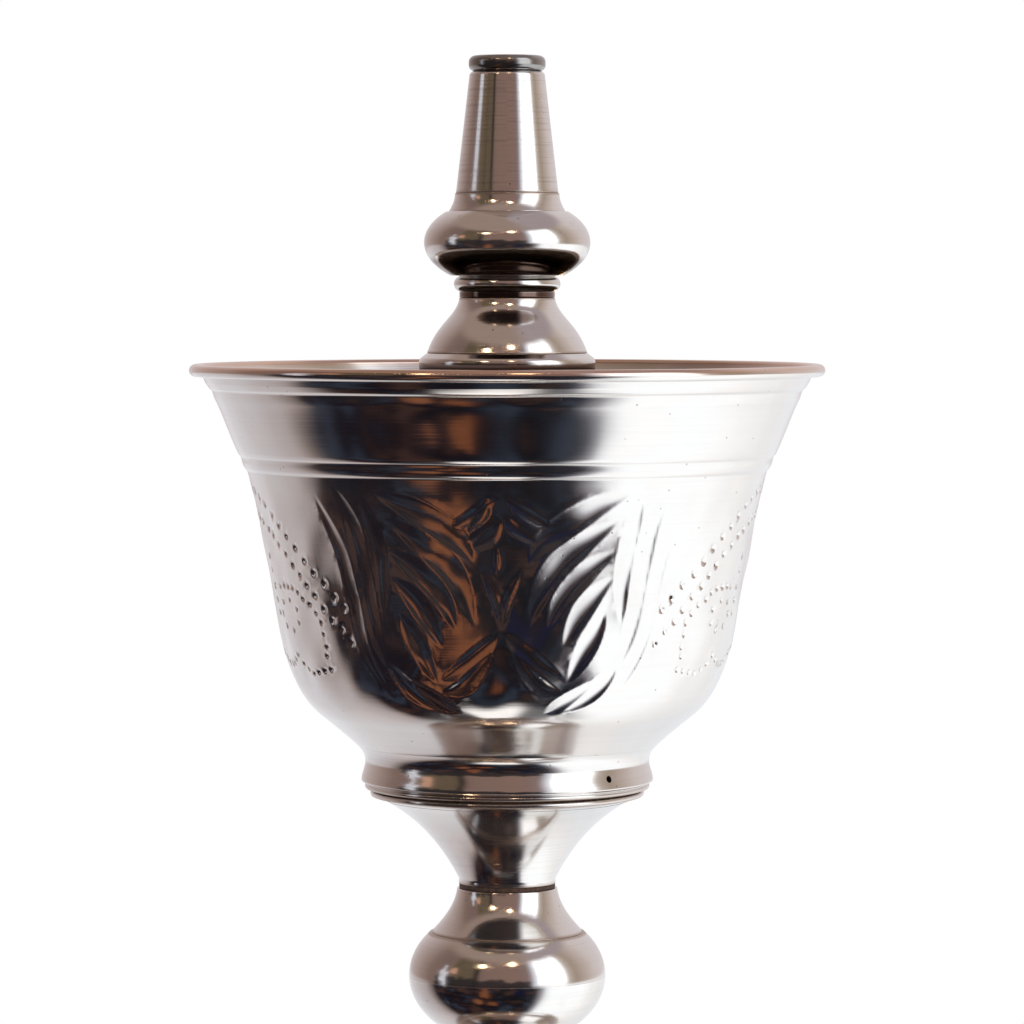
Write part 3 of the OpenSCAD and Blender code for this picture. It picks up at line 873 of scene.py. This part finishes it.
class CIBORIUM_OT_stage(bpy.types.Operator):
    """Set the camera, the soft light and the pale floor"""

    bl_idname = "ciborium.stage"
    bl_label = "Camera, Light and Floor"

    def execute(self, context):
        scene = context.scene
        sizes = scene.ciborium
        camera = bpy.data.cameras.new("view")
        camera.lens, camera.sensor_width = 172.3, 36.0
        camera.clip_start = 0.05
        eye = bpy.data.objects.new("view", camera)
        aside, distance, over_rim, down = 1.13, 1150, 21.8, 2.746
        eye.location = (aside * MM, -distance * MM, (RIM_Z + over_rim) * MM)
        eye.rotation_euler = (math.radians(90 - down), 0.0, 0.0)
        scene.collection.objects.link(eye)
        scene.camera = eye
        scene.view_settings.view_transform = "Standard"

        work = bmesh.new()
        bmesh.ops.create_circle(work, cap_ends=True, segments=128, radius=sizes.floor_radius)
        thick = bmesh.ops.extrude_face_region(work, geom=list(work.faces))
        lowered = [v for v in thick["geom"] if isinstance(v, bmesh.types.BMVert)]
        bmesh.ops.translate(work, verts=lowered, vec=(0, 0, -0.01))
        bmesh.ops.recalc_face_normals(work, faces=work.faces)
        mesh = bpy.data.meshes.new("pale_floor")
        work.to_mesh(mesh)
        work.free()
        ground = bpy.data.objects.new("pale_floor", mesh)
        scene.collection.objects.link(ground)
        tree = Tree(bpy.data.materials.new("pale_floor"))
        place = tree.node("ShaderNodeTexCoord", output=3)
        dust = tree.noise(place, 40.0, detail=4.0)
        colour = tree.mix(dust, shade(sizes.floor_colour, 1.0), shade(sizes.floor_colour, 0.985))
        mesh.materials.append(
            tree.surface(colour, 0.85 + dust * 0.1, 0.0, tree.bump(dust, 0.05)))
        ground.visible_glossy = False

        scene.world = bpy.data.worlds.new("room")
        room_light(scene.world, sizes.room_strength)
        return {"FINISHED"}


class CIBORIUM_OT_spigot(bpy.types.Operator):
    """Turn the lip, the tapered spigot and its step"""

    bl_idname = "ciborium.spigot"
    bl_label = "Spigot"

    def execute(self, context):
        metal = finish("nickel")
        low, top, r = measure("head_lip_ring")
        corner = 1.5
        turned("spigot_lip", (
            [(BORE_R, low)]
            + arc((r - corner, low + corner), corner, corner, -90, 0, 10)
            + arc((r - corner, top - corner), corner, corner, 0, 90, 10)
            + [(BORE_R, top)]
        ), finish("lip_nickel"), "post", "head_lip_ring", radius=0.5)

        foot, head, foot_r = measure("head_spigot")
        head_r, groove = 8.8, 0.6
        turned("spigot", [
            (BORE_R, head), (head_r - groove, head), (head_r, head - groove),
            (foot_r, foot), (CORE_R, foot), (CORE_R, SOCKET_FLOOR), (BORE_R, SOCKET_FLOOR),
        ], finish("spigot_nickel"), "post", "head_spigot")

        low, top, r = measure("spigot_step_ring")
        turned("spigot_step", (
            [(CORE_R, top)]
            + curve(
                (foot_r + 0.2, top), (foot_r + 0.3, top - 1.8), (r - 0.8, low + 1.4), (r, low), 16)
            + [(CORE_R, low)]
        ), metal, "post", "spigot_step_ring")
        return {"FINISHED"}


class CIBORIUM_OT_post(bpy.types.Operator):
    """Turn the knob, neck, bell and flange of the post"""

    bl_idname = "ciborium.post"
    bl_label = "Post"

    def execute(self, context):
        metal = finish("nickel")
        low, top, r = measure("post_knob")
        middle, half = top - 7.2, 10.6
        start = math.degrees(math.asin((top - middle) / half))
        end = math.degrees(math.asin((low - middle) / half))
        outer = arc((0, middle), r, half, start, end, 44)
        inner = arc((0, middle), r - SHELL_T, half - SHELL_T, end + 3, start - 3, 30)
        turned("post_knob_shell", (
            [(CORE_R, top)] + outer + [(CORE_R, low), (CORE_R, inner[0][1])] + inner
            + [(CORE_R, inner[-1][1])]
        ), finish("knob_nickel"), "post", "post_knob")

        foot, head, r = measure("post_neck_ring")
        bead = arc((10.5, head - 1.9), 2, 1.9, 70, -70, 18)
        turned("post_neck", (
            [(CORE_R, head), (11.8, head)] + bead + [(11.2, foot), (CORE_R, foot)]
        ), finish("neck_nickel"), "post", "post_neck_ring", radius=0.3)

        foot, head, r = measure("post_bell")
        side = curve((11.2, head), (11.9, head - 4.4), (16.6, head - 5.9), (r, foot), 30)
        hollow = [(a - SHELL_T, b) for a, b in side if b < head - SHELL_T]
        turned("post_bell_shell", (
            [(CORE_R, head)] + side + hollow[::-1]
            + [(CORE_R + 2, head - SHELL_T), (CORE_R + 2, foot), (CORE_R, foot)]
        ), metal, "post", "post_bell")

        low, top, r = measure("post_flange")
        turned("post_foot_flange", (
            [(CORE_R, top), (r - 1.9, top)]
            + arc((r - 1, low + 2), 1, 1.4, 65, 0, 10)
            + arc((r - 0.8, low + 0.8), 0.8, 0.8, 0, -90, 10)
            + [(CORE_R, low)]
        ), finish("flange_nickel"), "post", "post_flange")
        return {"FINISHED"}


class CIBORIUM_OT_column(bpy.types.Operator):
    """Turn the cap and the sleeve that carry the post"""

    bl_idname = "ciborium.column"
    bl_label = "Column"

    def execute(self, context):
        metal = finish("nickel")
        low, top, r = measure("column_cap")
        seat = measure("column_sleeve")[1]
        turned("column_top", [
            (TIE_R, top), (r - 0.5, top), (r, top - 0.5), (r, seat), (r - SHELL_T, seat),
            (r - SHELL_T, low), (r - 2 * SHELL_T, low), (r - 2 * SHELL_T, seat), (TIE_R, seat),
        ], metal, "stand", "column_cap")
        low, top, r = measure("column_sleeve")
        turned("column_tube", [
            (r - SHELL_T, low), (r, low), (r, top), (r - SHELL_T, top),
        ], metal, "stand", "column_sleeve", radius=0.15)
        return {"FINISHED"}


class CIBORIUM_OT_cup(bpy.types.Operator):
    """Spin the cup with its rolled edge, chase its leaves and punch its dots"""

    bl_idname = "ciborium.cup"
    bl_label = "Cup"

    def execute(self, context):
        sizes = context.scene.ciborium
        metal = finish("cup_nickel")
        roll = 1.4
        edge = arc((RIM_R - roll, RIM_Z), roll, roll, 168, -150, 26)
        outer = cup_side()
        inner = beside(cup_side(9), CUP_T)[::-1]
        work = spun(eased(edge + outer + inner, 0.3, tight=RIM_Z - CUP_DEEP), sizes.cup_steps)
        chase_wall(work, sizes.chase_depth)
        # Painted shade: the inside from 4 mm under the rim down takes the dark inside finish
        line = [p for p in inner if p[1] < RIM_Z - 4]
        heights, radii = [p[1] * MM for p in line], [p[0] * MM for p in line]
        for face in work.faces:
            x, y, z = face.calc_center_median()
            if z < (RIM_Z - 4) * MM and math.hypot(x, y) < np.interp(z, heights, radii) + 0.3 * MM:
                face.material_index = 1
        piece = finished("chased_cup", work, metal, "cup", "cup_bowl")
        piece.data.materials.append(finish("inside"))

        low, top, flange_r = measure("cup_floor_bush")
        hole_r, floor = 21.4, RIM_Z - CUP_DEEP + CUP_T
        turned("floor_bush", [
            (hole_r, top), (hole_r, low), (BUSH_R, low), (BUSH_R, floor),
            (flange_r, floor), (flange_r, top),
        ], finish("nickel"), "cup", "cup_floor_bush")
        return {"FINISHED"}


class CIBORIUM_OT_collar(bpy.types.Operator):
    """Turn the collar under the cup and drill its vent"""

    bl_idname = "ciborium.collar"
    bl_label = "Collar"

    def execute(self, context):
        low, top, r = measure("cup_collar")
        inner_r = 31.6
        waist, edge = (33.4, top - 3.8), (34.3, top - 8.4)
        piece = turned("cup_collar_ring", (
            [(inner_r, top)]
            + curve((r, top), (r - 1.1, top - 1.1), (33.4, top - 2.2), waist, 14)
            + curve(waist, (33.4, top - 5.4), (34.4, top - 7.0), edge, 14)[1:]
            + [(33.1, top - 9), (33.5, top - 9.4), (33.5, low + 0.3), (33.2, low)]
            + [(23.5, low), (23.5, low + 1.2), (inner_r, low + 1.2)]
        ), finish("stem_nickel"), "cup", "cup_collar", radius=0.2, steps=224, tight=top)
        vent_hole(piece, 0.8, -46.0, top - 5.9)
        return {"FINISHED"}


class CIBORIUM_OT_washers(bpy.types.Operator):
    """Cut the brown fibre washers between the turned pieces"""

    bl_idname = "ciborium.washers"
    bl_label = "Washers"

    def execute(self, context):
        for name, node, inner, body in (
            ("post_washer", "head_gasket", CORE_R + 0.05, "gasket"),
            ("cup_washer", "seat_washer", 23.5, "seat"),
            ("ball_washer", "joint_washer", TIE_R, "stand"),
            ("bead_washer", "foot_washer", TIE_R, "stand"),
        ):
            low, top, r = measure(node)
            turned(name, [
                (inner, low), (r, low), (r, top), (inner, top),
            ], finish("fibre"), body, node, radius=0.2, steps=160)
        return {"FINISHED"}


class CIBORIUM_OT_stem(bpy.types.Operator):
    """Turn the seat plate and the cone under the cup"""

    bl_idname = "ciborium.stem"
    bl_label = "Stem"

    def execute(self, context):
        metal = finish("stem_nickel")
        low, top, r = measure("cone_seat_plate")
        turned("seat_plate", [
            (TIE_R, top), (r - 0.3, top), (r, top - 0.3),
            (r, low + 0.3), (r - 0.3, low), (TIE_R, low),
        ], metal, "stand", "cone_seat_plate", radius=0.2, steps=224)

        foot, head, r = measure("stem_cone")
        foot_r, wall = 11.4, 1.7
        side = curve((r, head), (21.5, head - 4.5), (15.5, head - 11.5), (foot_r, head - 19.6), 36)
        hollow = [(a - wall, b) for a, b in side if foot + 3 < b < head - 1]
        turned("stem_cone_shell", (
            [(TIE_R, head)] + side + [(foot_r, foot), (TIE_R, foot), (TIE_R, foot + 1.5)]
            + hollow[::-1] + [(r - wall, head - 1), (TIE_R, head - 1)]
        ), metal, "stand", "stem_cone")
        return {"FINISHED"}


class CIBORIUM_OT_ball(bpy.types.Operator):
    """Spin the two halves of the ball and turn its necks"""

    bl_idname = "ciborium.ball"
    bl_label = "Ball"

    def execute(self, context):
        metal = finish("stem_nickel")
        middle, top, r = measure("ball_upper_half")
        low = measure("ball_lower_half")[0]
        half = 16.5

        def shell(start_z, end_z):
            def angle(height, z):
                return math.degrees(math.asin((z - middle) / height))
            inner_half = half - SHELL_T
            outer = arc((0, middle), r, half, angle(half, start_z), angle(half, end_z), 32)
            inner = arc(
                (0, middle), r - SHELL_T, inner_half,
                angle(inner_half, end_z), angle(inner_half, start_z), 24,
            )
            return outer + inner

        turned("ball_top", shell(top, middle), metal, "stand", "ball_upper_half", radius=0.06)
        turned("ball_bottom", shell(middle, low), metal, "stand", "ball_lower_half", radius=0.06)

        foot, head, neck_r = measure("ball_upper_neck")
        turned("ball_neck", (
            [(TIE_R, head)]
            + curve((11.8, head), (12.2, head - 3.7), (14.4, head - 6.9), (neck_r, foot), 20)
            + [(TIE_R, foot)]
        ), metal, "stand", "ball_upper_neck")
        foot, head, neck_r = measure("ball_lower_neck")
        turned("ball_foot_neck", (
            [(TIE_R, head)]
            + curve((neck_r, head), (13.2, head - 3.2), (11.6, foot + 5), (11.4, foot), 20)
            + [(TIE_R, foot)]
        ), metal, "stand", "ball_lower_neck")
        return {"FINISHED"}


class CIBORIUM_OT_foot(bpy.types.Operator):
    """Turn the bead, the trumpet, the dome and the rim of the foot, and cut its felt"""

    bl_idname = "ciborium.foot"
    bl_label = "Foot"

    def execute(self, context):
        metal = finish("stem_nickel")
        low, top, r = measure("foot_bead_ring")
        half = (top - low) / 2
        turned("foot_bead", (
            [(TIE_R, top)] + arc((r - 2.8, top - half), 2.8, half, 90, -90, 24) + [(TIE_R, low)]
        ), metal, "stand", "foot_bead_ring")

        low, top, r = measure("foot_trumpet")
        side = curve((11.4, top), (12.2, top - 26), (24, low + 8), (r, low), 44)
        hollow = [p for p in beside(side, SHELL_T) if p[1] < top - 2][:-1]
        turned("foot_trumpet_shell", (
            [(TIE_R, top)] + side + [(r - 3, low)] + hollow[::-1] + [(TIE_R, top - 2)]
        ), metal, "stand", "foot_trumpet", steps=224)

        rim_low, rim_top, rim_r = measure("foot_rim_ring")
        low, head, r = measure("foot_dome")
        start_r = measure("foot_trumpet")[2]
        side = (
            [(start_r - 4, head), (start_r, head)]
            + curve(
                (start_r + 2, head - 1), (start_r + 12, head - 1), (r, low + 9), (r, low + 1), 36)
            + [(r, low)]
        )
        turned("foot_dome_shell", side + beside(side, SHELL_T)[::-1],
               metal, "stand", "foot_dome", steps=256)

        inner_r, corner = r - 5, 2.6
        turned("foot_rim", (
            [(inner_r, rim_top), (rim_r - 3.5, rim_top), (rim_r - 3.2, rim_top - 1.6)]
            + arc((rim_r - corner, rim_top - 2 - corner), corner, corner, 90, 0, 14)
            + [(rim_r, rim_low + 0.4), (rim_r - 0.4, rim_low)]
            + [(rim_r - 2, rim_low), (rim_r - 2, rim_low + 1), (inner_r, rim_low + 1)]
        ), metal, "stand", "foot_rim_ring", steps=256)

        low, top, r = measure("base_felt")
        turned("base_felt_pad", [
            (0.0, low), (r - 0.4, low), (r, low + 0.5), (r - 0.1, top), (0.0, top),
        ], finish("felt"), "stand", "base_felt", steps=160)
        return {"FINISHED"}


class CIBORIUM_OT_hidden(bpy.types.Operator):
    """Give the tubes, the weight, the nut and the plates inside their finishes"""

    bl_idname = "ciborium.hidden"
    bl_label = "Inner Pieces"

    def execute(self, context):
        for node, name in (
            ("post_core_tube", "brass"), ("stem_tie_tube", "brass"), ("tie_nut", "brass"),
            ("rim_wire", "steel"), ("tie_washer", "steel"), ("base_plate", "steel"),
            ("foot_weight", "iron"),
        ):
            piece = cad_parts[node]
            for place in piece.material_slots:
                place.material = finish(name)
        return {"FINISHED"}


OPERATORS = (
    CIBORIUM_OT_stage, CIBORIUM_OT_spigot, CIBORIUM_OT_post, CIBORIUM_OT_column, CIBORIUM_OT_cup,
    CIBORIUM_OT_collar, CIBORIUM_OT_washers, CIBORIUM_OT_stem, CIBORIUM_OT_ball,
    CIBORIUM_OT_foot, CIBORIUM_OT_hidden,
)


class CIBORIUM_PT_panel(bpy.types.Panel):
    """Settings and pieces of the ciborium"""

    bl_idname = "CIBORIUM_PT_panel"
    bl_label = "Ciborium"
    bl_space_type = "VIEW_3D"
    bl_region_type = "UI"
    bl_category = "Ciborium"

    def draw(self, context):
        sizes = context.scene.ciborium
        for name in sizes.bl_rna.properties.keys():
            if name not in {"rna_type", "name"}:
                self.layout.prop(sizes, name)
        for operator in OPERATORS:
            self.layout.operator(operator.bl_idname)


CLASSES = (CiboriumSizes, *OPERATORS, CIBORIUM_PT_panel)


def register():
    for cls in CLASSES:
        bpy.utils.register_class(cls)
    bpy.types.Scene.ciborium = PointerProperty(type=CiboriumSizes)


def unregister():
    del bpy.types.Scene.ciborium
    for cls in reversed(CLASSES):
        bpy.utils.unregister_class(cls)


def main():
    register()
    for operator in OPERATORS:
        group, name = operator.bl_idname.split(".")
        if getattr(getattr(bpy.ops, group), name)() != {"FINISHED"}:
            raise RuntimeError(operator.bl_idname + " did not finish")


if __name__ == "__main__":
    main()
